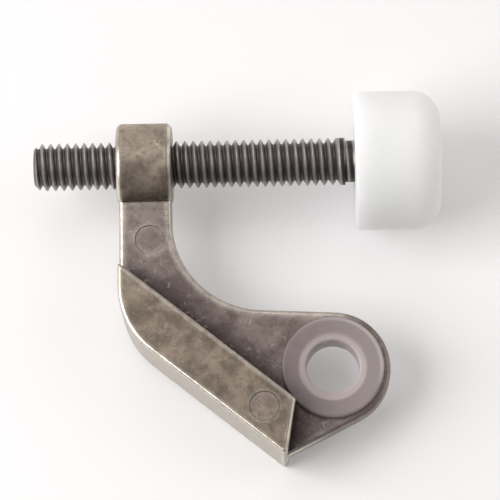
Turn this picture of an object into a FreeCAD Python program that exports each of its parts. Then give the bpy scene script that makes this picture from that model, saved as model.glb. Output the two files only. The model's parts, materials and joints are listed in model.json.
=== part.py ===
import FreeCAD, Part
import math
import os
import Sketcher

# Hinge pin door stop. Millimetres. The origin lies on the hinge pin's axis, in the mid-plane of the arm plate.
# +X runs along the adjusting rod to its bumper, +Y from the pin to the rod, and +Z along the pin, to its head.

# Driving dimensions
SIZES = {
    # casting: eye and arm plate
    "plate_thickness": 3.6,
    "plate_edge_radius": 0.7,
    "eye_diameter": 19.0,
    "upper_edge_slope": 3.0,
    "lower_edge_slope": 27.0,
    "web_radius": 15.5,
    "arm_back": 35.1,
    "arm_width": 8.8,
    "plate_inset": 0.4,
    # casting: wall that bears on the door casing
    "wall_height": 14.0,
    "wall_thickness": 8.4,
    "wall_distance": 16.85,
    "wall_slope": 39.0,
    "wall_end_slope": 10.0,
    "wall_end_setback": 5.05,
    "wall_heel_radius": 14.0,
    "wall_corner_radius": 0.5,
    "wall_tip_radius": 0.3,
    "wall_edge_radius": 0.6,
    # casting: boss for the rod
    "rod_axis_height": 35.7,
    "boss_diameter": 14.0,
    "boss_length": 9.2,
    "boss_overhang": 0.3,
    "boss_edge_radius": 0.9,
    "boss_countersink": 0.5,
    # casting: marks of the ejector pins
    "mark_diameter": 5.0,
    "mark_depth": 0.2,
    "arm_mark_height": 22.4,
    "arm_mark_inset": 5.1,
    "wall_mark_setback": 4.3,
    # adjusting rod
    "rod_diameter": 7.94,
    "thread_pitch": 1.4111,
    "thread_angle": 60.0,
    "thread_lead_in": 0.87,
    "rod_tip": 49.3,
    "rod_tip_chamfer": 0.9,
    "rod_clearance": 0.06,
    "shank_diameter": 7.0,
    "shank_length": 1.6,
    "head_diameter": 11.0,
    "head_thickness": 2.5,
    "head_depth": 5.0,
    # rubber bumper
    "bumper_diameter": 23.2,
    "bumper_length": 14.3,
    "bumper_rear": 4.4,
    "bumper_rear_radius": 0.6,
    "bumper_front_radius": 4.5,
    "bumper_clearance": 0.06,
    # pin bushing
    "pin_bore_diameter": 8.7,
    "hub_diameter": 11.0,
    "hub_clearance": 0.05,
    "flange_diameter": 16.8,
    "flange_thickness": 1.2,
    "flange_edge_radius": 0.4,
}

TOLERANCE = 1e-5

doc = FreeCAD.newDocument("hinge_pin_door_stop")


def make_sheet(sizes):
    """Puts every driving dimension in a cell of its own, under its own name."""
    sheet = doc.addObject("Spreadsheet::Sheet", "Sizes")
    for row, (name, size) in enumerate(sizes.items(), start=1):
        sheet.set(f"A{row}", name)
        sheet.set(f"B{row}", str(size))
        sheet.setAlias(f"B{row}", name)
    doc.recompute()
    return sheet


sheet = make_sheet(SIZES)


def size_of(expression):
    """The present value of an expression in the sheet's names."""
    return float(sheet.evalExpression(expression))


def make_body(label):
    body = doc.addObject("PartDesign::Body", label)
    body.Label = label
    return body


def make_sketch(body, name, plane, offset=None):
    """An empty sketch on one of the body's origin planes. offset moves it along a local axis by an expression."""
    sketch = body.newObject("Sketcher::SketchObject", name)
    support = [item for item in body.Origin.OriginFeatures if item.Role == plane][0]
    sketch.AttachmentSupport = [(support, "")]
    sketch.MapMode = "FlatFace"
    if offset:
        axis, expression = offset
        sketch.setExpression(f"AttachmentOffset.Base.{axis}", expression)
    doc.recompute()
    return sketch


def bind(sketch, constraint, name, expression):
    """Adds a dimension to a sketch and ties it to the sheet."""
    index = sketch.addConstraint(constraint)
    sketch.renameConstraint(index, name)
    sketch.setExpression(f"Constraints.{name}", expression)


def unit(degrees):
    angle = math.radians(degrees)
    return FreeCAD.Vector(math.cos(angle), math.sin(angle), 0)


def meet(facing_a, reach_a, facing_b, reach_b):
    """The point where two sides cross. Each side faces a direction, at a distance from the sketch's origin."""
    a = unit(facing_a)
    b = unit(facing_b)
    area = a.x * b.y - a.y * b.x
    return FreeCAD.Vector((reach_a * b.y - reach_b * a.y) / area, (reach_b * a.x - reach_a * b.x) / area, 0)


def round_off(before, corner, after, radius):
    """The two tangent points and the centre of an arc that rounds off a corner."""
    back = (before - corner).normalize()
    ahead = (after - corner).normalize()
    half_angle = back.getAngle(ahead) / 2
    run = radius / math.tan(half_angle)
    centre = corner + (back + ahead).normalize() * (radius / math.sin(half_angle))
    return corner + back * run, corner + ahead * run, centre


def add_arc(sketch, start, end, centre, radius):
    """Adds an arc between two points, the short way round. Returns it with the numbers of those ends."""
    spoke_a = start - centre
    spoke_b = end - centre
    angle_a = math.atan2(spoke_a.y, spoke_a.x)
    angle_b = math.atan2(spoke_b.y, spoke_b.x)
    left_turn = spoke_a.cross(spoke_b).z > 0
    first, last = (angle_a, angle_b) if left_turn else (angle_b, angle_a)
    circle = Part.Circle(centre, FreeCAD.Vector(0, 0, 1), radius)
    arc = sketch.addGeometry(Part.ArcOfCircle(circle, first, last), False)
    return (arc, 1, 2) if left_turn else (arc, 2, 1)


def draw_outline(sketch, sides):
    """Draws a closed outline and ties it to the sheet.

    Each side is (name, facing, reach, rounding): the direction it faces in degrees, how far out it lies that way
    from the sketch's origin, and the radius that leads into the next side, or None for a sharp corner. A side
    whose reach is None lies on the sketch's horizontal axis, facing down.
    """
    count = len(sides)
    places = [(size_of(facing), 0.0 if reach is None else size_of(reach)) for _, facing, reach, _ in sides]
    corners = [meet(*places[i], *places[(i + 1) % count]) for i in range(count)]
    starts = [None] * count
    ends = [None] * count
    centres = [None] * count
    for i, (_, _, _, rounding) in enumerate(sides):
        ahead = (i + 1) % count
        ends[i] = corners[i]
        starts[ahead] = corners[i]
        if rounding:
            arc = round_off(corners[i - 1], corners[i], corners[ahead], size_of(rounding))
            ends[i], starts[ahead], centres[i] = arc
    lines = [sketch.addGeometry(Part.LineSegment(a, b), False) for a, b in zip(starts, ends)]
    for i, (name, facing, reach, rounding) in enumerate(sides):
        ahead = (i + 1) % count
        if rounding:
            radius = size_of(rounding)
            arc, near, far = add_arc(sketch, ends[i], starts[ahead], centres[i], radius)
            sketch.addConstraint(Sketcher.Constraint("Tangent", lines[i], 2, arc, near))
            sketch.addConstraint(Sketcher.Constraint("Tangent", arc, far, lines[ahead], 1))
            bind(sketch, Sketcher.Constraint("Radius", arc, radius), f"{name}_radius", rounding)
        else:
            sketch.addConstraint(Sketcher.Constraint("Coincident", lines[i], 2, lines[ahead], 1))
        if reach is None:
            sketch.addConstraint(Sketcher.Constraint("PointOnObject", lines[i], 1, -1))
            sketch.addConstraint(Sketcher.Constraint("PointOnObject", lines[i], 2, -1))
            continue
        heading = math.radians(places[i][0] + 90)
        gap = abs(places[i][1])
        bind(sketch, Sketcher.Constraint("Angle", lines[i], heading), f"{name}_angle", f"({facing} + 90) * 1 deg")
        bind(sketch, Sketcher.Constraint("Distance", -1, 1, lines[i], gap), f"{name}_reach", f"abs({reach})")
    doc.recompute()


def draw_circle(sketch, name, diameter, along=None, across=None):
    """Draws a circle of a bound diameter. along and across bind its centre, which otherwise is the origin."""
    centre = FreeCAD.Vector(size_of(along) if along else 0, size_of(across) if across else 0, 0)
    circle = Part.Circle(centre, FreeCAD.Vector(0, 0, 1), size_of(diameter) / 2)
    ring = sketch.addGeometry(circle, False)
    bind(sketch, Sketcher.Constraint("Diameter", ring, size_of(diameter)), f"{name}_diameter", diameter)
    if along is None:
        sketch.addConstraint(Sketcher.Constraint("Coincident", ring, 3, -1, 1))
    else:
        bind(sketch, Sketcher.Constraint("DistanceX", -1, 1, ring, 3, centre.x), f"{name}_along", along)
        bind(sketch, Sketcher.Constraint("DistanceY", -1, 1, ring, 3, centre.y), f"{name}_across", across)
    doc.recompute()


def pad(body, sketch, name, height):
    """Pads a sketch by half the height to each side."""
    feature = body.newObject("PartDesign::Pad", name)
    feature.Profile = sketch
    feature.Midplane = True
    feature.setExpression("Length", height)
    doc.recompute()
    return feature


def cut_through(body, sketch, name):
    feature = body.newObject("PartDesign::Pocket", name)
    feature.Profile = sketch
    feature.Type = "ThroughAll"
    feature.Midplane = True
    doc.recompute()
    return feature


def cut_down(body, sketch, name, depth):
    """Cuts from the sketch's plane downwards."""
    feature = body.newObject("PartDesign::Pocket", name)
    feature.Profile = sketch
    feature.Type = "Length"
    feature.setExpression("Length", depth)
    doc.recompute()
    return feature


def revolve(body, sketch, name, axis, kind="Revolution"):
    feature = body.newObject(f"PartDesign::{kind}", name)
    feature.Profile = sketch
    feature.ReferenceAxis = (sketch, [axis])
    feature.Angle = 360
    doc.recompute()
    return feature


def round_rims(body, feature, name, height, radius):
    """Rounds off every edge that lies flat at half the height, above and below."""
    level = size_of(height) / 2
    rims = []
    for number, edge in enumerate(feature.Shape.Edges, start=1):
        box = edge.BoundBox
        if box.ZLength < TOLERANCE and abs(abs(box.ZMax) - level) < TOLERANCE:
            rims.append(f"Edge{number}")
    fillet = body.newObject("PartDesign::Fillet", name)
    fillet.Base = (feature, rims)
    fillet.setExpression("Radius", radius)
    doc.recompute()
    return fillet


# Expressions that more than one sub-part uses
EYE_RADIUS = "Sizes.eye_diameter / 2"
WALL_FACING = "270 - Sizes.wall_slope"
WALL_MIDDLE = "Sizes.wall_distance - Sizes.wall_thickness / 2"
WALL_INNER = "Sizes.wall_distance - Sizes.wall_thickness"
BOSS_BACK = "Sizes.arm_back + Sizes.boss_overhang"
BOSS_FRONT = "Sizes.boss_length - Sizes.boss_overhang - Sizes.arm_back"
ROD_BORE_RADIUS = "Sizes.rod_diameter / 2 + Sizes.rod_clearance"
BOSS_WALL_MIDDLE = "(Sizes.boss_diameter / 2 + Sizes.rod_diameter / 2 + Sizes.rod_clearance) / 2"
THREAD_END = "Sizes.bumper_rear - Sizes.shank_length"
HEAD_BACK = "Sizes.bumper_rear + Sizes.head_depth"
HEAD_FRONT = "Sizes.bumper_rear + Sizes.head_depth + Sizes.head_thickness"
ON_ROD_AXIS = ("y", "Sizes.rod_axis_height")


def add_plate(body):
    """Arm plate: the eye, and the arm that sweeps up from it to the boss. Its buried edge lies inside the wall."""
    sketch = make_sketch(body, "plate_outline", "XY_Plane")
    draw_outline(sketch, [
        ("upper_edge", "90 - Sizes.upper_edge_slope", EYE_RADIUS, "Sizes.web_radius"),
        ("arm_front", "0", "Sizes.arm_width - Sizes.arm_back", None),
        ("arm_top", "90", f"Sizes.rod_axis_height - {BOSS_WALL_MIDDLE}", None),
        ("arm_back", "180", "Sizes.arm_back", "Sizes.wall_heel_radius"),
        ("buried_edge", WALL_FACING, "Sizes.wall_distance - Sizes.plate_inset", None),
        ("lower_edge", "Sizes.lower_edge_slope - 90", EYE_RADIUS, EYE_RADIUS),
    ])
    plate = pad(body, sketch, "plate", "Sizes.plate_thickness")
    return round_rims(body, plate, "plate_rounding", "Sizes.plate_thickness", "Sizes.plate_edge_radius")


def add_wall(body):
    """Wall that bears on the door casing. It stands proud of the plate on both faces, so the stop fits either hand."""
    sketch = make_sketch(body, "wall_outline", "XY_Plane")
    draw_outline(sketch, [
        ("wall_face", WALL_FACING, "Sizes.wall_distance", "Sizes.wall_corner_radius"),
        ("wall_end", "-Sizes.wall_end_slope", "-Sizes.wall_end_setback", "Sizes.wall_corner_radius"),
        ("wall_inner", "90 - Sizes.wall_slope", f"-({WALL_INNER})", "Sizes.wall_tip_radius"),
        ("wall_back", "180", "Sizes.arm_back", "Sizes.wall_heel_radius"),
    ])
    wall = pad(body, sketch, "wall", "Sizes.wall_height")
    return round_rims(body, wall, "wall_rounding", "Sizes.wall_height", "Sizes.wall_edge_radius")


def add_boss(body):
    """Boss that the rod screws through, turned about the rod's axis."""
    sketch = make_sketch(body, "boss_profile", "XY_Plane", ON_ROD_AXIS)
    draw_outline(sketch, [
        ("boss_axis", "270", None, None),
        ("boss_front", "0", BOSS_FRONT, "Sizes.boss_edge_radius"),
        ("boss_barrel", "90", "Sizes.boss_diameter / 2", "Sizes.boss_edge_radius"),
        ("boss_back", "180", BOSS_BACK, None),
    ])
    return revolve(body, sketch, "boss", "H_Axis")


def add_rod_bore(body):
    """Bore for the rod, countersunk at both ends."""
    sketch = make_sketch(body, "rod_bore_profile", "XY_Plane", ON_ROD_AXIS)
    lip = f"{ROD_BORE_RADIUS} + Sizes.boss_countersink"
    draw_outline(sketch, [
        ("bore_axis", "270", None, None),
        ("bore_front", "0", f"{BOSS_FRONT} + Sizes.boss_countersink", None),
        ("bore_front_lip", "135", f"({lip} - ({BOSS_FRONT})) / sqrt(2)", None),
        ("bore_wall", "90", ROD_BORE_RADIUS, None),
        ("bore_back_lip", "45", f"({lip} - ({BOSS_BACK})) / sqrt(2)", None),
        ("bore_back", "180", f"{BOSS_BACK} + Sizes.boss_countersink", None),
    ])
    return revolve(body, sketch, "rod_bore", "H_Axis", "Groove")


def add_pin_hole(body):
    """Hole in the eye, for the bushing's hub."""
    sketch = make_sketch(body, "pin_hole_outline", "XY_Plane")
    draw_circle(sketch, "pin_hole", "Sizes.hub_diameter + 2 * Sizes.hub_clearance")
    return cut_through(body, sketch, "pin_hole")


def add_arm_mark(body):
    """Shallow round mark that an ejector pin leaves on the arm."""
    sketch = make_sketch(body, "arm_mark_outline", "XY_Plane", ("z", "Sizes.plate_thickness / 2"))
    along = "Sizes.arm_mark_inset - Sizes.arm_back"
    draw_circle(sketch, "arm_mark", "Sizes.mark_diameter", along, "Sizes.arm_mark_height")
    return cut_down(body, sketch, "arm_mark", "Sizes.mark_depth")


def add_wall_mark(body):
    """The same mark on the wall's upper face, halfway across it."""
    sketch = make_sketch(body, "wall_mark_outline", "XY_Plane", ("z", "Sizes.wall_height / 2"))
    sine = "sin(Sizes.wall_slope * 1 deg)"
    cosine = "cos(Sizes.wall_slope * 1 deg)"
    along = f"-({WALL_MIDDLE}) * {sine} - Sizes.wall_mark_setback * {cosine}"
    across = f"Sizes.wall_mark_setback * {sine} - ({WALL_MIDDLE}) * {cosine}"
    draw_circle(sketch, "wall_mark", "Sizes.mark_diameter", along, across)
    return cut_down(body, sketch, "wall_mark", "Sizes.mark_depth")


def make_stop_body():
    """Die-cast body, in one piece."""
    body = make_body("stop_body")
    add_plate(body)
    add_wall(body)
    add_boss(body)
    add_rod_bore(body)
    add_pin_hole(body)
    add_arm_mark(body)
    add_wall_mark(body)
    return body


def cut_thread(body):
    """Right-hand thread of standard proportions: a crest of 1/8 pitch, and 17/24 of the sharp thread's depth.

    One groove runs along a helix. It starts beyond the tip and ends half a pitch short of the plain shank.
    """
    start = "Sizes.rod_tip + Sizes.thread_lead_in"
    half_angle = "Sizes.thread_angle / 2"
    depth = f"17 / 48 * Sizes.thread_pitch / tan({half_angle} * 1 deg)"
    root = f"(Sizes.rod_diameter / 2 - {depth}) * sin({half_angle} * 1 deg)"
    half_root = "Sizes.thread_pitch / 12"
    cosine = f"cos({half_angle} * 1 deg)"
    sketch = make_sketch(body, "groove_profile", "XY_Plane", ON_ROD_AXIS)
    draw_outline(sketch, [
        ("groove_root", "270", f"{depth} - Sizes.rod_diameter / 2", None),
        ("groove_front", f"-{half_angle}", f"({half_root} - ({start})) * {cosine} - {root}", None),
        ("groove_mouth", "90", "Sizes.rod_diameter / 2 + Sizes.thread_pitch / 16", None),
        ("groove_back", f"180 + {half_angle}", f"({half_root} + {start}) * {cosine} - {root}", None),
    ])
    groove = body.newObject("PartDesign::SubtractiveHelix", "thread_groove")
    groove.Profile = sketch
    groove.ReferenceAxis = (sketch, ["H_Axis"])
    groove.Mode = "pitch-height-angle"
    groove.setExpression("Pitch", "Sizes.thread_pitch")
    groove.setExpression("Height", f"{start} + {THREAD_END} - Sizes.thread_pitch / 2")
    doc.recompute()
    return groove


def make_adjusting_rod():
    """Stud: chamfered tip, threaded length, plain shank, and the head that holds the bumper on."""
    body = make_body("adjusting_rod")
    sketch = make_sketch(body, "rod_profile", "XY_Plane", ON_ROD_AXIS)
    draw_outline(sketch, [
        ("rod_axis", "270", None, None),
        ("head_front", "0", HEAD_FRONT, None),
        ("head_rim", "90", "Sizes.head_diameter / 2", None),
        ("head_back", "180", f"-({HEAD_BACK})", None),
        ("shank", "90", "Sizes.shank_diameter / 2", None),
        ("thread_end", "0", THREAD_END, None),
        ("thread", "90", "Sizes.rod_diameter / 2", None),
        ("tip_chamfer", "135", "(Sizes.rod_tip + Sizes.rod_diameter / 2 - Sizes.rod_tip_chamfer) / sqrt(2)", None),
        ("tip", "180", "Sizes.rod_tip", None),
    ])
    revolve(body, sketch, "rod", "H_Axis")
    cut_thread(body)
    return body


def make_rubber_bumper():
    """Moulded cap with a rounded front, and a socket that snaps over the rod's head."""
    body = make_body("rubber_bumper")
    sketch = make_sketch(body, "bumper_profile", "XY_Plane", ON_ROD_AXIS)
    draw_outline(sketch, [
        ("bumper_axis", "270", None, None),
        ("bumper_front", "0", "Sizes.bumper_rear + Sizes.bumper_length", "Sizes.bumper_front_radius"),
        ("bumper_barrel", "90", "Sizes.bumper_diameter / 2", "Sizes.bumper_rear_radius"),
        ("bumper_rear", "180", "-Sizes.bumper_rear", None),
        ("neck", "270", "-(Sizes.shank_diameter / 2 + Sizes.bumper_clearance)", None),
        ("socket_back", "0", f"{HEAD_BACK} - Sizes.bumper_clearance", None),
        ("socket_rim", "270", "-(Sizes.head_diameter / 2 + Sizes.bumper_clearance)", None),
        ("socket_front", "180", f"-({HEAD_FRONT} + Sizes.bumper_clearance)", None),
    ])
    revolve(body, sketch, "bumper", "H_Axis")
    return body


def make_pin_bushing():
    """Flanged bushing: its hub fills the hole in the eye, and its flange lies on the plate."""
    body = make_body("pin_bushing")
    sketch = make_sketch(body, "bushing_profile", "XZ_Plane")
    draw_outline(sketch, [
        ("hub_foot", "270", "Sizes.plate_thickness / 2", None),
        ("hub", "0", "Sizes.hub_diameter / 2", None),
        ("flange_seat", "270", "-Sizes.plate_thickness / 2", None),
        ("flange_rim", "0", "Sizes.flange_diameter / 2", "Sizes.flange_edge_radius"),
        ("flange_face", "90", "Sizes.plate_thickness / 2 + Sizes.flange_thickness", "Sizes.flange_edge_radius"),
        ("pin_bore", "180", "-Sizes.pin_bore_diameter / 2", None),
    ])
    revolve(body, sketch, "bushing", "V_Axis")
    return body


def check_document():
    """Stops if any object failed to build."""
    for item in doc.Objects:
        if "Invalid" in item.State or "Error" in item.State:
            raise RuntimeError(f"{item.Label} failed: {item.State}")
        if item.isDerivedFrom("Sketcher::SketchObject") and item.solve() != 0:
            raise RuntimeError(f"{item.Label} has no solution")


def write_parts(bodies):
    """Writes each sub-part to a file that has its name."""
    os.makedirs("parts", exist_ok=True)
    for body in bodies:
        shape = body.Shape
        if shape.isNull() or not shape.isValid() or len(shape.Solids) != 1:
            raise RuntimeError(f"{body.Label} is not one valid solid")
        print(f"{body.Label}: {shape.Volume:.1f} mm3")
    for body in bodies:
        body.Shape.exportStep(f"parts/{body.Label}.step")


sub_parts = [make_stop_body(), make_adjusting_rod(), make_rubber_bumper(), make_pin_bushing()]
doc.recompute()
check_document()
write_parts(sub_parts)
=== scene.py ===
import json
import math

import bpy
from mathutils import Matrix, Vector


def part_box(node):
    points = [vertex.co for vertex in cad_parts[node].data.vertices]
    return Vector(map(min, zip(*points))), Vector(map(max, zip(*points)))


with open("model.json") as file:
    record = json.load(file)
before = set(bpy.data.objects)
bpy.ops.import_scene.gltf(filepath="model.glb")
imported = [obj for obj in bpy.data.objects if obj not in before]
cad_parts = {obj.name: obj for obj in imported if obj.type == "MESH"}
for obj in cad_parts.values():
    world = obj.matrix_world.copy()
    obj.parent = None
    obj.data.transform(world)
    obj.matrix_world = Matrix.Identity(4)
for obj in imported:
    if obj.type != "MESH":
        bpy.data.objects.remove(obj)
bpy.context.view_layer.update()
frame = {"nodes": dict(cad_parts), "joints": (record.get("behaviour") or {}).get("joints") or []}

# Hinge pin door stop: looks. Metres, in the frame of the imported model.

MM = 0.001


def colour(red, green, blue):
    """A colour given as the screen shows it, 0 to 255, as the shader needs it."""
    def linear(level):
        share = level / 255
        return share / 12.92 if share <= 0.04045 else ((share + 0.055) / 1.055) ** 2.4
    return (linear(red), linear(green), linear(blue), 1.0)


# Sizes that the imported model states
ROD_JOINT = next(joint for joint in frame["joints"] if joint["name"] == "rod_turn")
ROD_AXIS_Y = ROD_JOINT["pos_m"][1]
BODY_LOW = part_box("stop_body")[0]
BUMPER_LOW, BUMPER_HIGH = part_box("rubber_bumper")

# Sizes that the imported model's boxes don't give
ROD_RADIUS = 3.97 * MM
THREAD_DEPTH = 0.87 * MM
THREAD_PITCH = 1.4111 * MM
THREAD_START = -50.17 * MM
SHANK_LENGTH = 1.6 * MM
BOSS_RADIUS = 7.0 * MM
PLATE_TOP = 1.8 * MM
FLANGE_RADIUS = 8.4 * MM
HUB_RADIUS = 5.5 * MM
MARK_RADIUS = 2.5 * MM
ARM_MARK = (-30.0 * MM, 22.4 * MM)
WALL_MARK = (-11.3 * MM, -7.13 * MM)
CASING_SIDE = (-0.629, -0.777, 0.0)

# Where the eye's outline, on its side in shade, keeps little painted edge highlight, and where painted shade
# darkens the casting on the eye's far side from the window
EYE_SHADED_SIDE = (-2 * MM, 3 * MM)
EYE_SHADED_SIDE_LEAN = 0.25
EYE_FAR_SIDE = (-5 * MM, 5 * MM)

# Colours. A pair is the dark and the light of a mottled finish.
PLATE_TONES = (colour(126, 114, 111), colour(156, 144, 139))
WALL_TONES = (colour(123, 111, 99), colour(159, 146, 131))
BOSS_TONES = (colour(137, 127, 116), colour(179, 167, 150))
ARM_MARK_TONE = colour(100, 90, 88)
WALL_MARK_TONE = colour(186, 170, 160)
SPECK_TONE = colour(108, 96, 87)
# Recesses darkened by patina and by painted shade
SOIL_AND_SHADE_TONE = colour(54, 46, 44)
# Edges and the casing face lightened by burnish and by painted highlight
BURNISH_AND_HIGHLIGHT_TONE = colour(232, 227, 214)
# Thread grooves darker by oxide and painted shade; crests with a painted highlight
GROOVE_TONE = colour(102, 97, 95)
# Painted shadow of the bumper on the rod's uncut end
RUN_OUT_SHADOW_TONE = colour(60, 55, 53)
CREST_TONE = colour(178, 174, 172)
RUBBER_TONES = (colour(223, 226, 227), colour(227, 230, 231))
# Painted light on the rubber's front, away from the window
RUBBER_PAINTED_LIGHT_TONE = colour(248, 254, 248)
BUSHING_TONES = (colour(164, 150, 150), colour(176, 163, 162))
# Painted light on the bushing's far side and hub, and a painted highlight on its far rim
BUSHING_PAINTED_LIGHT_TONE = colour(202, 190, 187)
BUSHING_HIGHLIGHT_TONE = colour(248, 237, 235)
FLOOR_COLOUR = (0.9, 0.895, 0.9, 1.0)
FLOOR_GLOW_COLOUR = (1.0, 0.995, 0.99, 1.0)

# Sizes of the features of the finishes
BLOTCH_SIZE = 3.5 * MM
SPECK_SIZE = 0.7 * MM
SCUFF_SIZE = 1.1 * MM
EDGE_BREAK_SIZE = 1.5 * MM
SMUDGE_SIZE = 2.2 * MM
RUBBER_CLOUD_SIZE = 6 * MM
BUSHING_CLOUD_SIZE = 2.5 * MM
PLATE_EDGE_BAND = 2.6 * MM
WALL_EDGE_BAND = 1.6 * MM
SOIL_AND_SHADE_REACH = 12 * MM
RUBBER_SCATTER = 14 * MM

# Size and depth of the finest grain
CAST_GRAIN = (0.9 * MM, 0.03 * MM)
STEEL_GRAIN = (0.35 * MM, 0.008 * MM)
RUBBER_GRAIN = (0.25 * MM, 0.006 * MM)

# Turns drawn at the uncut end of the rod: how far short of the shank they begin, and their depth
RUN_OUT_LEAD = 0.8 * MM
RUN_OUT_DEPTH = 0.2 * MM

# How much wear, dirt, painted highlight and painted shade shows, 0 to 1. A pair is the least and the most.
# Edge brightening: part wear, part painted highlight
EDGE_WEAR_AND_HIGHLIGHT = (0.55, 0.85)
BOSS_RIM_WEAR_AND_HIGHLIGHT = (0.3, 0.85)
BESIDE_EDGE_WEAR_AND_HIGHLIGHT = 0.9
# Share of edge brightening left on the eye's side in shade: painted shade there
SHADED_SIDE_EDGE_SHARE = 0.1
CASING_FACE_WEAR_AND_LIGHT = 0.38
SCUFF_WEAR = 0.4
SPECK_SHARE = 0.5
# Patina and painted shade in recesses, and painted shade on the eye's far side
SOIL_AND_SHADE_SHARE = 0.9
EYE_FAR_SIDE_SHADE = 0.15
RIM_SPARED_SHARE = 0.8
ARM_MARK_SHARE = 0.3
WALL_MARK_SHARE = 0.4
# Painted light in the bushing's hub
HUB_PAINTED_LIGHT_SHARE = 0.4

# Roughness of the pewter, and what the boss adds to it and wear takes away
PEWTER_ROUGHNESS = (0.34, 0.46)
BOSS_ROUGHNESS = 0.06
WEAR_POLISH = 0.15

# Rays that the edge and recess masks send out
MASK_SAMPLES = 8


class Shader:
    """A material with one Principled shader, and short calls that add nodes to it."""

    def __init__(self, name):
        self.material = bpy.data.materials.new(name)
        self.material.use_nodes = True
        self.tree = self.material.node_tree
        self.principled = self.tree.nodes["Principled BSDF"]
        coordinates = self.add("ShaderNodeTexCoord").outputs
        self.place = coordinates["Object"]
        self.normal = coordinates["Normal"]
        self.x, self.y, self.z = self.axes(self.place)

    def put(self, socket, value):
        """Links an output to an input, or sets the input to a plain value."""
        if isinstance(value, bpy.types.NodeSocket):
            self.tree.links.new(value, socket)
        else:
            socket.default_value = value

    def add(self, kind, inputs=None, **settings):
        node = self.tree.nodes.new(kind)
        for name, value in settings.items():
            setattr(node, name, value)
        for name, value in (inputs or {}).items():
            self.put(node.inputs[name], value)
        return node

    def set(self, **inputs):
        for name, value in inputs.items():
            self.put(self.principled.inputs[name.replace("_", " ")], value)

    def noise(self, size, detail=4.0, roughness=0.55, distortion=0.0):
        """Cloudy noise whose largest features are about the given size."""
        inputs = {"Vector": self.place, "Scale": 1 / size, "Detail": detail,
                  "Roughness": roughness, "Distortion": distortion}
        return self.add("ShaderNodeTexNoise", inputs).outputs["Fac"]

    def math(self, operation, first, second=0.0):
        return self.add("ShaderNodeMath", {0: first, 1: second}, operation=operation).outputs[0]

    def times(self, first, second):
        return self.math("MULTIPLY", first, second)

    def most(self, first, second):
        return self.math("MAXIMUM", first, second)

    def fade(self, value, low, high, start=0.0, end=1.0):
        """Turns a value that runs from low to high into one that runs smoothly from start to end."""
        inputs = {"Value": value, "From Min": low, "From Max": high, "To Min": start, "To Max": end}
        return self.add("ShaderNodeMapRange", inputs, interpolation_type="SMOOTHSTEP").outputs[0]

    def strip(self, value, rise, fall):
        """1 between two slopes, each given by the values where it starts and ends."""
        return self.times(self.fade(value, *rise), self.fade(value, *fall, 1.0, 0.0))

    def between(self, share, first, second):
        """A number that runs from first to second as share runs from 0 to 1."""
        return self.add("ShaderNodeMix", {0: share, 2: first, 3: second}, data_type="FLOAT").outputs[0]

    def mix(self, share, first, second):
        """A colour that runs from first to second as share runs from 0 to 1."""
        return self.add("ShaderNodeMix", {0: share, 6: first, 7: second}, data_type="RGBA").outputs[2]

    def axes(self, vector):
        return self.add("ShaderNodeSeparateXYZ", {0: vector}).outputs

    def dot(self, first, second):
        node = self.add("ShaderNodeVectorMath", {0: first, 1: second}, operation="DOT_PRODUCT")
        return node.outputs["Value"]

    def bump(self, height, depth, normal=None):
        """Raises the surface by up to the given depth where height is 1."""
        inputs = {"Height": height, "Distance": depth, "Strength": 1.0}
        if normal is not None:
            inputs["Normal"] = normal
        return self.add("ShaderNodeBump", inputs).outputs["Normal"]

    def reach(self, along, centre):
        """Distance from a point, in the plane of the two coordinates that along gives."""
        off = [self.math("SUBTRACT", *pair) for pair in zip(along, centre)]
        squares = [self.times(part, part) for part in off]
        return self.math("SQRT", self.math("ADD", *squares))


# Pewter of the casting

def rounded_edges(shader, on_boss, towards_casing):
    """Burnish and painted highlight on the casting's rounded edges: most towards the casing, and on half of
    each end of the boss.
    """
    nx, _, nz = shader.axes(shader.normal)
    flat_edge = shader.strip(shader.math("ABSOLUTE", nz), (0.1, 0.5), (0.95, 0.999))
    boss_edge = shader.strip(shader.math("ABSOLUTE", nx), (0.1, 0.5), (0.8, 0.99))
    sideways = shader.math("SQRT", shader.math("SUBTRACT", 1.0, shader.times(nz, nz)))
    heading = shader.math("DIVIDE", towards_casing, sideways)
    flat_edge = shader.times(flat_edge, shader.fade(heading, 0.6, 0.95, *EDGE_WEAR_AND_HIGHLIGHT))
    below = shader.fade(shader.y, ROD_AXIS_Y - BOSS_RADIUS / 2, ROD_AXIS_Y + BOSS_RADIUS / 2, 1.0, 0.0)
    above = shader.math("SUBTRACT", 1.0, below)
    bright_half = shader.between(shader.fade(nx, -0.3, 0.3), below, above)
    boss_edge = shader.times(boss_edge, shader.fade(bright_half, 0.0, 1.0, *BOSS_RIM_WEAR_AND_HIGHLIGHT))
    return shader.between(on_boss, flat_edge, boss_edge)


def beside_edges(shader, on_wall, openness):
    """1 close to an edge that stands proud, on the faces that meet there. The band is wider on the plate."""
    band = shader.fade(on_wall, 0.0, 1.0, PLATE_EDGE_BAND, WALL_EDGE_BAND)
    rounded = shader.add("ShaderNodeBevel", {"Radius": band}, samples=MASK_SAMPLES).outputs["Normal"]
    bend = shader.dot(rounded, shader.add("ShaderNodeNewGeometry").outputs["Normal"])
    return shader.times(shader.fade(bend, 0.92, 0.998, 1.0, 0.0), shader.fade(openness, 0.7, 0.9))


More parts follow.
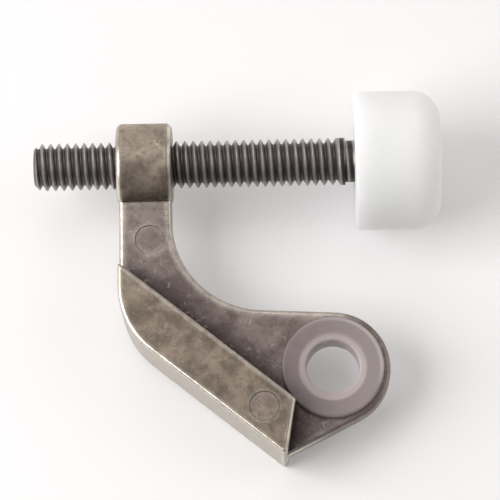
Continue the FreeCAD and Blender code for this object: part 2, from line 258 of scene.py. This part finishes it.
def burnish_and_highlight_places(shader, on_boss, on_wall, openness):
    """Where the casting is lightened: burnish and painted highlight at its edges and on the face that meets
    the casing, and burnish in scuffs.
    """
    towards_casing = shader.dot(shader.normal, CASING_SIDE)
    edge = rounded_edges(shader, on_boss, towards_casing)
    edge = shader.most(edge, shader.times(beside_edges(shader, on_wall, openness), BESIDE_EDGE_WEAR_AND_HIGHLIGHT))
    breakup = shader.noise(EDGE_BREAK_SIZE, detail=6.0, roughness=0.65)
    edge = shader.times(edge, shader.fade(breakup, 0.3, 0.6, 0.5, 1.0))
    # On the eye's side in shade the edges keep little of their painted highlight, which paints shade there.
    round_eye = shader.math("SUBTRACT", shader.x, shader.times(shader.y, EYE_SHADED_SIDE_LEAN))
    lit_side = shader.most(shader.fade(round_eye, *EYE_SHADED_SIDE, 1.0, SHADED_SIDE_EDGE_SHARE), on_wall)
    edge = shader.times(edge, lit_side)
    # The face towards the casing is lightened by rub and by painted light.
    casing_face_rub_and_light = shader.fade(towards_casing, 0.7, 0.98, 0.0, CASING_FACE_WEAR_AND_LIGHT)
    scratches = shader.noise(SCUFF_SIZE, detail=6.0, roughness=0.7, distortion=0.8)
    scuffed = shader.fade(scratches, 0.56, 0.74, 0.0, SCUFF_WEAR)
    return shader.most(shader.most(edge, casing_face_rub_and_light), scuffed)


def mark_ring(shader, centre):
    """1 on the rim of an ejector mark, fading to 0 inside it and outside it."""
    radius = shader.reach((shader.x, shader.y), centre)
    from_rim = shader.math("ABSOLUTE", shader.math("SUBTRACT", radius, MARK_RADIUS))
    return shader.fade(from_rim, 0.1 * MM, 0.8 * MM, 1.0, 0.0)


def inside_mark(shader, centre):
    """1 on the floor of an ejector mark."""
    radius = shader.reach((shader.x, shader.y), centre)
    return shader.fade(radius, MARK_RADIUS - 0.6 * MM, MARK_RADIUS, 1.0, 0.0)


def patina_colour(shader, blotches, on_boss, on_wall):
    """Mottled brown-grey of the plate, the wall and the boss, with dark specks."""
    thinned = shader.fade(blotches, 0.35, 0.68)
    plate = shader.mix(thinned, *PLATE_TONES)
    wall = shader.mix(thinned, *WALL_TONES)
    boss = shader.mix(thinned, *BOSS_TONES)
    patina = shader.mix(on_boss, shader.mix(on_wall, plate, wall), boss)
    patina = shader.mix(shader.times(inside_mark(shader, ARM_MARK), ARM_MARK_SHARE), patina, ARM_MARK_TONE)
    patina = shader.mix(shader.times(inside_mark(shader, WALL_MARK), WALL_MARK_SHARE), patina, WALL_MARK_TONE)
    specks = shader.noise(SPECK_SIZE, detail=3.0)
    return shader.mix(shader.fade(specks, 0.5, 0.72, 0.0, SPECK_SHARE), patina, SPECK_TONE)


def soil_and_shade_places(shader, openness):
    """Where the casting is darkened: patina and painted shade in recesses, less on the rims of the marks, and
    painted shade on the eye's far side from the window.
    """
    rims = shader.most(mark_ring(shader, ARM_MARK), mark_ring(shader, WALL_MARK))
    # Recesses are darkened by patina and by painted shade.
    recesses = shader.fade(openness, 0.5, 1.0, SOIL_AND_SHADE_SHARE, 0.0)
    recesses = shader.times(recesses, shader.math("SUBTRACT", 1.0, shader.times(rims, RIM_SPARED_SHARE)))
    # Painted shade on the eye's far side from the window.
    return shader.most(recesses, shader.fade(shader.x, *EYE_FAR_SIDE, 0.0, EYE_FAR_SIDE_SHADE))


def pewter_material():
    """Antique pewter on a casting: mottled patina, recesses darkened by patina and painted shade, edges
    lightened by burnish and painted highlight.
    """
    shader = Shader("antique_pewter")
    on_boss = shader.fade(shader.y, ROD_AXIS_Y - BOSS_RADIUS - 0.3 * MM, ROD_AXIS_Y - BOSS_RADIUS)
    on_wall = shader.fade(shader.math("ABSOLUTE", shader.z), PLATE_TOP + 0.2 * MM, PLATE_TOP + 1.0 * MM)
    blotches = shader.noise(BLOTCH_SIZE, detail=6.0, roughness=0.6, distortion=0.4)
    patina = patina_colour(shader, blotches, on_boss, on_wall)
    occlusion = shader.add("ShaderNodeAmbientOcclusion", {"Distance": SOIL_AND_SHADE_REACH},
                           samples=MASK_SAMPLES, only_local=True)
    openness = occlusion.outputs["AO"]
    patina = shader.mix(soil_and_shade_places(shader, openness), patina, SOIL_AND_SHADE_TONE)
    burnish_and_highlight = burnish_and_highlight_places(shader, on_boss, on_wall, openness)
    # Edges and the casing face get burnish and painted highlight; scuffs get burnish.
    shade = shader.mix(burnish_and_highlight, patina, BURNISH_AND_HIGHLIGHT_TONE)
    roughness = shader.fade(blotches, 0.3, 0.7, *PEWTER_ROUGHNESS)
    roughness = shader.math("ADD", roughness, shader.times(on_boss, BOSS_ROUGHNESS))
    roughness = shader.math("SUBTRACT", roughness, shader.times(burnish_and_highlight, WEAR_POLISH))
    grain_size, grain_depth = CAST_GRAIN
    grain = shader.bump(shader.noise(grain_size, detail=5.0, roughness=0.6), grain_depth)
    shader.set(Base_Color=shade, Roughness=roughness, Metallic=0.85, Normal=grain)
    return shader.material


# Steel of the rod

def run_out_turns(shader):
    """1 on the crests of the turns drawn at the uncut end of the rod, in step with the thread."""
    off = shader.math("SUBTRACT", shader.y, ROD_AXIS_Y)
    turns = shader.math("DIVIDE", shader.math("ARCTAN2", shader.z, off), 2 * math.pi)
    along = shader.math("DIVIDE", shader.math("SUBTRACT", shader.x, THREAD_START), THREAD_PITCH)
    phase = shader.math("FRACT", shader.math("SUBTRACT", along, turns))
    from_crest = shader.math("ABSOLUTE", shader.math("SUBTRACT", phase, 0.5))
    return shader.fade(from_crest, 0.05, 0.35, 1.0, 0.0)


def rod_material():
    """Dark plated steel: darker in the thread's grooves, by oxide and painted shade, with a painted highlight
    on its crests, and a painted shadow of the bumper on the uncut end.
    """
    shader = Shader("rod_steel")
    radius = shader.reach((shader.y, shader.z), (ROD_AXIS_Y, 0.0))
    cut = shader.fade(radius, ROD_RADIUS - THREAD_DEPTH, ROD_RADIUS)
    turns = run_out_turns(shader)
    cut_end = BUMPER_LOW.x - SHANK_LENGTH - RUN_OUT_LEAD
    past_cut = shader.fade(shader.x, cut_end - 0.2 * MM, cut_end)
    height = shader.between(past_cut, cut, turns)
    smudge = shader.noise(SMUDGE_SIZE, detail=5.0, roughness=0.6)
    scuffed = shader.times(height, shader.fade(smudge, 0.3, 0.65, 0.6, 1.0))
    # The uncut end next to the bumper takes a painted shadow of the bumper.
    groove = shader.mix(past_cut, GROOVE_TONE, RUN_OUT_SHADOW_TONE)
    # Crests get a painted highlight, broken by smudges; grooves stay darker with oxide and painted shade.
    shade = shader.mix(scuffed, groove, CREST_TONE)
    grain_size, grain_depth = STEEL_GRAIN
    grain = shader.bump(shader.noise(grain_size, detail=3.0), grain_depth)
    rolled = shader.bump(shader.times(past_cut, turns), RUN_OUT_DEPTH, grain)
    shader.set(Base_Color=shade, Roughness=0.42, Metallic=0.8, Normal=rolled)
    return shader.material


# Rubber of the bumper and plastic of the bushing

def rubber_material():
    """White moulded rubber, satin, with a faint unevenness, and painted light that makes it whiter towards
    its front, the side away from the window.
    """
    shader = Shader("bumper_rubber")
    clouds = shader.noise(RUBBER_CLOUD_SIZE, detail=3.0)
    shade = shader.mix(shader.fade(clouds, 0.3, 0.7), *RUBBER_TONES)
    # Painted light: whiter towards the front, away from the window.
    shade = shader.mix(shader.fade(shader.x, BUMPER_LOW.x, BUMPER_HIGH.x), shade, RUBBER_PAINTED_LIGHT_TONE)
    grain_size, grain_depth = RUBBER_GRAIN
    grain = shader.bump(shader.noise(grain_size, detail=3.0), grain_depth)
    shader.set(Base_Color=shade, Roughness=0.55, Normal=grain)
    shader.set(Subsurface_Weight=1.0, Subsurface_Radius=(RUBBER_SCATTER,) * 3, Subsurface_Scale=1.0)
    return shader.material


def bushing_material():
    """Translucent natural plastic, with painted light in the hub and on the far side from the window, and a
    painted highlight on the rim there.
    """
    shader = Shader("bushing_plastic")
    clouds = shader.noise(BUSHING_CLOUD_SIZE)
    near = shader.mix(shader.fade(clouds, 0.3, 0.7), *BUSHING_TONES)
    far_side = shader.fade(shader.x, -FLANGE_RADIUS, FLANGE_RADIUS)
    # Painted light on the far side from the window.
    shade = shader.mix(far_side, near, BUSHING_PAINTED_LIGHT_TONE)
    radius = shader.reach((shader.x, shader.y), (0.0, 0.0))
    hub = shader.fade(radius, HUB_RADIUS - 0.2 * MM, HUB_RADIUS + 0.5 * MM, HUB_PAINTED_LIGHT_SHARE, 0.0)
    rim = shader.fade(radius, FLANGE_RADIUS - 0.9 * MM, FLANGE_RADIUS - 0.3 * MM)
    rim = shader.times(rim, far_side)
    rim = shader.times(rim, shader.fade(shader.y, -FLANGE_RADIUS / 2, 0.0))
    # Painted light in the hub and a painted highlight on the far rim.
    shade = shader.mix(shader.most(hub, rim), shade, BUSHING_HIGHLIGHT_TONE)
    shader.set(Base_Color=shade, Roughness=0.3, Transmission_Weight=0.5, IOR=1.47)
    return shader.material


# Stage

FLOOR_LIFT = 0.2
FLOOR_GLOW = 0.97
FLOOR_HALF = 3.0
SKY_BRIGHT_SIDE = (-0.15, 0.9, -0.35)
SKY_COLOUR = (1.0, 0.925, 0.92, 1.0)
SKY_DARK = 0.16
SKY_BRIGHT = 0.64
SKY_SPREAD = 0.9

# Each lamp's direction from the object, width in metres and power in watts
LAMPS = {
    "window": ((-0.76, -0.06, 0.64), 0.5, 4.0),
    "back window": ((-0.15, 0.52, 0.84), 0.35, 0.42),
    "fill": ((0.85, 0.1, 0.5), 0.5, 0.75),
}
LAMP_DISTANCE = 0.6
LAMP_COLOUR = (1.0, 0.99, 0.98)

CAMERA_TARGET = Vector((-13.276, 19.434, 5.074)) * MM
CAMERA_DISTANCE = 495 * MM
CAMERA_TILT = math.radians(14)
CAMERA_ROLL = math.radians(1.15)
CAMERA_SIDE = 0.01667
CAMERA_LENS = 216
CAMERA_SENSOR = 36
CAMERA_NEAR = 10 * MM


def dress(piece, material):
    piece.data.materials.clear()
    piece.data.materials.append(material)


def make_camera():
    """Looks down on the object, from a little to the eye's side of it, as in the photograph."""
    back = Vector((CAMERA_SIDE, -math.sin(CAMERA_TILT), math.cos(CAMERA_TILT))).normalized()
    flat = Vector((1, 0, 0))
    flat = (flat - back * flat.dot(back)).normalized()
    right = flat * math.cos(CAMERA_ROLL) - back.cross(flat) * math.sin(CAMERA_ROLL)
    up = back.cross(right)
    data = bpy.data.cameras.new("camera")
    data.lens = CAMERA_LENS
    data.sensor_width = CAMERA_SENSOR
    data.clip_start = CAMERA_NEAR
    camera = bpy.data.objects.new("camera", data)
    turn = Matrix((right, up, back)).transposed().to_4x4()
    camera.matrix_world = Matrix.Translation(CAMERA_TARGET + back * CAMERA_DISTANCE) @ turn
    bpy.context.scene.collection.objects.link(camera)
    bpy.context.scene.camera = camera


def floor_material():
    """White table. What the camera, reflections and glass see of it is lifted towards white."""
    shader = Shader("floor")
    shader.set(Base_Color=FLOOR_COLOUR, Roughness=0.9, Specular_IOR_Level=0.1)
    path = shader.add("ShaderNodeLightPath").outputs
    seen = shader.most(path["Is Camera Ray"], path["Is Glossy Ray"])
    seen = shader.most(seen, path["Is Transmission Ray"])
    glow = shader.add("ShaderNodeEmission", {"Color": FLOOR_GLOW_COLOUR, "Strength": FLOOR_GLOW})
    share = shader.times(seen, FLOOR_LIFT)
    layers = {0: share, 1: shader.principled.outputs[0], 2: glow.outputs[0]}
    lifted = shader.add("ShaderNodeMixShader", layers)
    shader.put(shader.tree.nodes["Material Output"].inputs["Surface"], lifted.outputs[0])
    return shader.material


def make_floor():
    """The table, which touches the bumper's underside and the casting's lowest corner."""
    bumper_radius = (BUMPER_HIGH.y - BUMPER_LOW.y) / 2
    span = ROD_AXIS_Y - BODY_LOW.y
    drop = -BODY_LOW.z
    lean = math.asin(bumper_radius / math.hypot(span, drop)) - math.atan2(drop, span)
    normal = Vector((0, math.sin(lean), math.cos(lean)))
    foot = Vector((0, ROD_AXIS_Y, 0)) - normal * bumper_radius
    corners = [(-1, -1), (1, -1), (1, 1), (-1, 1)]
    data = bpy.data.meshes.new("floor")
    data.from_pydata([(x * FLOOR_HALF, y * FLOOR_HALF, 0) for x, y in corners], [], [(0, 1, 2, 3)])
    floor = bpy.data.objects.new("floor", data)
    floor.matrix_world = Matrix.Translation(foot) @ Matrix.Rotation(-lean, 4, "X")
    bpy.context.scene.collection.objects.link(floor)
    dress(floor, floor_material())


def make_lamp(name, direction, width, watts):
    data = bpy.data.lights.new(name, "AREA")
    data.size = width
    data.energy = watts
    data.color = LAMP_COLOUR
    lamp = bpy.data.objects.new(name, data)
    aim = Vector(direction).normalized()
    lamp.location = CAMERA_TARGET + aim * LAMP_DISTANCE
    lamp.rotation_mode = "QUATERNION"
    lamp.rotation_quaternion = aim.to_track_quat("Z", "Y")
    bpy.context.scene.collection.objects.link(lamp)


def make_world():
    """Pale surroundings, brightest behind and below the object and dimmest in front of it and above."""
    world = bpy.data.worlds.new("world")
    bpy.context.scene.world = world
    world.use_nodes = True
    tree = world.node_tree
    heading = tree.nodes.new("ShaderNodeTexCoord").outputs["Generated"]
    share = tree.nodes.new("ShaderNodeVectorMath")
    share.operation = "DOT_PRODUCT"
    share.inputs[1].default_value = Vector(SKY_BRIGHT_SIDE).normalized()
    tree.links.new(heading, share.inputs[0])
    level = tree.nodes.new("ShaderNodeMapRange")
    level.interpolation_type = "SMOOTHSTEP"
    level.inputs["From Min"].default_value = -SKY_SPREAD
    level.inputs["From Max"].default_value = SKY_SPREAD
    level.inputs["To Min"].default_value = SKY_DARK
    level.inputs["To Max"].default_value = SKY_BRIGHT
    tree.links.new(share.outputs["Value"], level.inputs["Value"])
    tree.links.new(level.outputs[0], tree.nodes["Background"].inputs["Strength"])
    tree.nodes["Background"].inputs["Color"].default_value = SKY_COLOUR


# Assembly

dress(frame["nodes"]["stop_body"], pewter_material())
dress(frame["nodes"]["adjusting_rod"], rod_material())
dress(frame["nodes"]["rubber_bumper"], rubber_material())
dress(frame["nodes"]["pin_bushing"], bushing_material())

make_camera()
make_floor()
for lamp_name, (direction, width, watts) in LAMPS.items():
    make_lamp(lamp_name, direction, width, watts)
make_world()
bpy.context.scene.view_settings.view_transform = "Standard"
